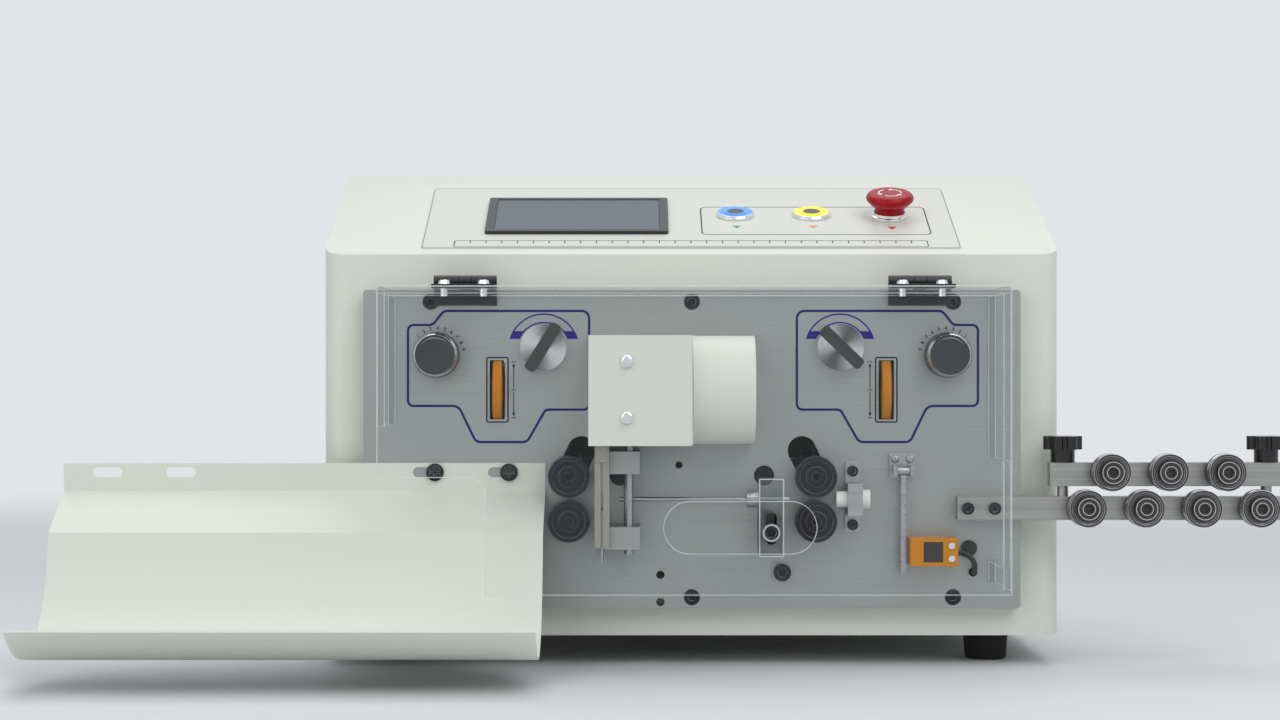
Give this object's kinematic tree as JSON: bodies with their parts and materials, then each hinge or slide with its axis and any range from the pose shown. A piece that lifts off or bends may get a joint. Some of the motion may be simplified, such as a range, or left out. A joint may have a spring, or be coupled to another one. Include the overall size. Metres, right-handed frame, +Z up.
{
  "type": "wire cutting and stripping machine",
  "caption": "Bench machine that feeds wire through driven rollers, then cuts and strips it, with hinged clear cover, wire straightener and delivery tray.",
  "frame": {"origin": "middle of the machine's footprint, on the surface that its feet stand on", "axes": "+X to the right along the wire line, towards the wire straightener; +Y from the front to the back; +Z up"},
  "size_m": [0.66, 0.4634, 0.276],
  "materials": {
    "white_paint": "powder coat, fine texture",
    "plate_aluminium": "fine brushed, clear anodised",
    "machined_aluminium": "machined satin",
    "bright_steel": "polished",
    "steel": "ground",
    "black_oxide": "black oxide",
    "rubber": "matt",
    "acrylic": "clear polished",
    "panel_print": "satin film",
    "screen": "glass front",
    "red_plastic": "gloss",
    "black_plastic": "moulded",
    "orange_plastic": "moulded",
    "nylon": "turned",
    "motor_black": "satin black",
    "board": "board and pressed case",
    "button_face": "satin"
  },
  "bodies": {
    "machine": {"case_shell": "white_paint", "base_plate": "white_paint", "rear_cover": "white_paint", "cutter_cover": "white_paint", "delivery_tray": "white_paint", "front_plate": "plate_aluminium", "wire_guides": "machined_aluminium", "straightener_base": "machined_aluminium", "lever_bracket": "machined_aluminium", "blade_guides": "machined_aluminium", "console_bezels": "bright_steel", "wire_tube": "steel", "bearing_blocks": "steel", "arm_springs": "steel", "fasteners": "black_oxide", "hinge_leaves": "black_oxide", "rubber_feet": "rubber", "sensor_cable": "rubber", "console_panel": "panel_print", "display": "screen", "power_inlet": "black_plastic", "sensor": "orange_plastic", "inlet_bush": "nylon", "stepper_motors": "motor_black", "electronics": "board"},
    "clear_cover": {"cover_front": "acrylic", "cover_top": "acrylic", "cover_sides": "acrylic", "cover_leaves": "black_oxide"},
    "start_button": {"start_button": "button_face"},
    "pause_button": {"pause_button": "button_face"},
    "stop_plunger": {"stop_plunger": "black_plastic"},
    "stop_head": {"stop_head": "red_plastic"},
    "pressure_knob_left": {"pressure_knob_left": "machined_aluminium"},
    "pressure_knob_right": {"pressure_knob_right": "machined_aluminium"},
    "lift_lever_left": {"lift_lever_left": "machined_aluminium"},
    "lift_lever_right": {"lift_lever_right": "machined_aluminium"},
    "thumbwheel_left": {"thumbwheel_left": "orange_plastic"},
    "thumbwheel_right": {"thumbwheel_right": "orange_plastic"},
    "roller_arm_left": {"roller_arm_left": "steel"},
    "roller_arm_right": {"roller_arm_right": "steel"},
    "upper_roller_left": {"upper_roller_left": "black_oxide"},
    "upper_roller_right": {"upper_roller_right": "black_oxide"},
    "lower_roller_left": {"lower_roller_left": "black_oxide"},
    "lower_roller_right": {"lower_roller_right": "black_oxide"},
    "groove_roller_1": {"groove_roller_1": "black_oxide"},
    "groove_roller_2": {"groove_roller_2": "black_oxide"},
    "groove_roller_3": {"groove_roller_3": "black_oxide"},
    "groove_roller_4": {"groove_roller_4": "black_oxide"},
    "groove_roller_5": {"groove_roller_5": "black_oxide"},
    "groove_roller_6": {"groove_roller_6": "black_oxide"},
    "groove_roller_7": {"groove_roller_7": "black_oxide"},
    "straightener_slide": {"straightener_slide": "machined_aluminium"},
    "star_knob_left": {"star_knob_left": "black_plastic"},
    "star_knob_right": {"star_knob_right": "black_plastic"},
    "upper_blade": {"upper_blade": "steel"},
    "lower_blade": {"lower_blade": "steel"},
    "blade_screw": {"blade_screw": "steel"},
    "swing_lever": {"swing_lever": "bright_steel"},
    "power_rocker": {"power_rocker": "black_plastic"}
  },
  "joints": [
    {"name": "cover_hinge", "type": "hinge", "parent": "machine", "child": "clear_cover", "pos_m": [0.009, -0.08475, 0.208], "axis": [-1, 0, 0], "range_deg": [0, 100]},
    {"name": "start_press", "type": "slide", "parent": "machine", "child": "start_button", "axis": [0, 0.3433, -0.9392], "range_m": [0, 0.0012], "stiffness_N_per_m": 400, "springref_m": -0.002},
    {"name": "pause_press", "type": "slide", "parent": "machine", "child": "pause_button", "axis": [0, 0.3433, -0.9392], "range_m": [0, 0.0012], "stiffness_N_per_m": 400, "springref_m": -0.002},
    {"name": "stop_press", "type": "slide", "parent": "machine", "child": "stop_plunger", "axis": [0, 0.3433, -0.9392], "range_m": [0, 0.0025], "stiffness_N_per_m": 500, "springref_m": -0.004},
    {"name": "stop_twist", "type": "hinge", "parent": "stop_plunger", "child": "stop_head", "pos_m": [0.1218, -0.0117, 0.24532], "axis": [0, 0.3433, -0.9392], "range_deg": [0, 45], "stiffness_Nm_per_rad": 0.02},
    {"name": "pressure_turn_left", "type": "hinge", "parent": "machine", "child": "pressure_knob_left", "pos_m": [-0.1285, -0.08275, 0.1684], "axis": [0, 1, 0], "range_deg": [-150, 150]},
    {"name": "lever_turn_left", "type": "hinge", "parent": "machine", "child": "lift_lever_left", "pos_m": [-0.071, -0.08275, 0.1724], "axis": [0, -1, 0], "range_deg": [0, 80]},
    {"name": "gap_wheel_left", "type": "hinge", "parent": "machine", "child": "thumbwheel_left", "pos_m": [-0.096, -0.06975, 0.1495], "axis": [1, 0, 0], "range_deg": [-170, 170]},
    {"name": "arm_lift_left", "type": "hinge", "parent": "machine", "child": "roller_arm_left", "pos_m": [-0.03, -0.06775, 0.1032], "axis": [0, 1, 0], "range_deg": [0, 7]},
    {"name": "lower_feed_left", "type": "hinge", "parent": "machine", "child": "lower_roller_left", "pos_m": [-0.057, -0.07275, 0.0794], "axis": [0, 1, 0], "continuous": true},
    {"name": "upper_feed_left", "type": "hinge", "parent": "roller_arm_left", "child": "upper_roller_left", "pos_m": [-0.057, -0.07275, 0.1032], "axis": [0, 1, 0], "continuous": true},
    {"name": "pressure_turn_right", "type": "hinge", "parent": "machine", "child": "pressure_knob_right", "pos_m": [0.1465, -0.08275, 0.1684], "axis": [0, 1, 0], "range_deg": [-150, 150]},
    {"name": "lever_turn_right", "type": "hinge", "parent": "machine", "child": "lift_lever_right", "pos_m": [0.089, -0.08275, 0.1724], "axis": [0, 1, 0], "range_deg": [0, 80]},
    {"name": "gap_wheel_right", "type": "hinge", "parent": "machine", "child": "thumbwheel_right", "pos_m": [0.114, -0.06975, 0.1495], "axis": [1, 0, 0], "range_deg": [-170, 170]},
    {"name": "arm_lift_right", "type": "hinge", "parent": "machine", "child": "roller_arm_right", "pos_m": [0.048, -0.06775, 0.1032], "axis": [0, -1, 0], "range_deg": [0, 7]},
    {"name": "lower_feed_right", "type": "hinge", "parent": "machine", "child": "lower_roller_right", "pos_m": [0.075, -0.07275, 0.0794], "axis": [0, 1, 0], "continuous": true},
    {"name": "upper_feed_right", "type": "hinge", "parent": "roller_arm_right", "child": "upper_roller_right", "pos_m": [0.075, -0.07275, 0.1032], "axis": [0, 1, 0], "continuous": true},
    {"name": "straightener_gap", "type": "slide", "parent": "machine", "child": "straightener_slide", "axis": [0, 0, 1], "range_m": [0, 0.004]},
    {"name": "groove_spin_1", "type": "hinge", "parent": "machine", "child": "groove_roller_1", "pos_m": [0.2195, -0.09475, 0.0864], "axis": [0, 1, 0], "continuous": true},
    {"name": "groove_spin_2", "type": "hinge", "parent": "machine", "child": "groove_roller_2", "pos_m": [0.2502, -0.09475, 0.0864], "axis": [0, 1, 0], "continuous": true},
    {"name": "groove_spin_3", "type": "hinge", "parent": "machine", "child": "groove_roller_3", "pos_m": [0.2809, -0.09475, 0.0864], "axis": [0, 1, 0], "continuous": true},
    {"name": "groove_spin_4", "type": "hinge", "parent": "machine", "child": "groove_roller_4", "pos_m": [0.3116, -0.09475, 0.0864], "axis": [0, 1, 0], "continuous": true},
    {"name": "groove_spin_5", "type": "hinge", "parent": "straightener_slide", "child": "groove_roller_5", "pos_m": [0.23239, -0.09475, 0.1057], "axis": [0, 1, 0], "continuous": true},
    {"name": "groove_spin_6", "type": "hinge", "parent": "straightener_slide", "child": "groove_roller_6", "pos_m": [0.26309, -0.09475, 0.1057], "axis": [0, 1, 0], "continuous": true},
    {"name": "groove_spin_7", "type": "hinge", "parent": "straightener_slide", "child": "groove_roller_7", "pos_m": [0.29379, -0.09475, 0.1057], "axis": [0, 1, 0], "continuous": true},
    {"name": "star_turn_left", "type": "hinge", "parent": "straightener_slide", "child": "star_knob_left", "pos_m": [0.2085, -0.08775, 0.1105], "axis": [0, 0, 1], "range_deg": [-170, 170]},
    {"name": "star_turn_right", "type": "hinge", "parent": "straightener_slide", "child": "star_knob_right", "pos_m": [0.318, -0.08775, 0.1105], "axis": [0, 0, 1], "range_deg": [-170, 170]},
    {"name": "cut_screw", "type": "hinge", "parent": "machine", "child": "blade_screw", "pos_m": [-0.025, -0.10475, 0.1], "axis": [0, 0, 1], "range_deg": [0, 288]},
    {"name": "upper_cut", "type": "slide", "parent": "machine", "child": "upper_blade", "axis": [0, 0, -1], "range_m": [0, 0.004]},
    {"name": "lower_cut", "type": "slide", "parent": "machine", "child": "lower_blade", "axis": [0, 0, 1], "range_m": [0, 0.004]},
    {"name": "lever_swing", "type": "hinge", "parent": "machine", "child": "swing_lever", "pos_m": [0.1225, -0.09075, 0.106], "axis": [-1, 0, 0], "range_deg": [-5, 25]},
    {"name": "power_switch", "type": "hinge", "parent": "machine", "child": "power_rocker", "pos_m": [0.151, 0.22475, 0.062], "axis": [-1, 0, 0], "range_deg": [0, 12]}
  ],
  "couplings": [
    {"joint": "arm_lift_left", "follows": "lever_turn_left", "ratio": 0.0875},
    {"joint": "upper_feed_left", "follows": "lower_feed_left", "ratio": -1},
    {"joint": "arm_lift_right", "follows": "lever_turn_right", "ratio": 0.0875},
    {"joint": "upper_feed_right", "follows": "lower_feed_right", "ratio": -1},
    {"joint": "lower_cut", "follows": "upper_cut", "ratio": 1},
    {"joint": "cut_screw", "follows": "upper_cut", "rad_per_m": 1256.6}
  ]
}
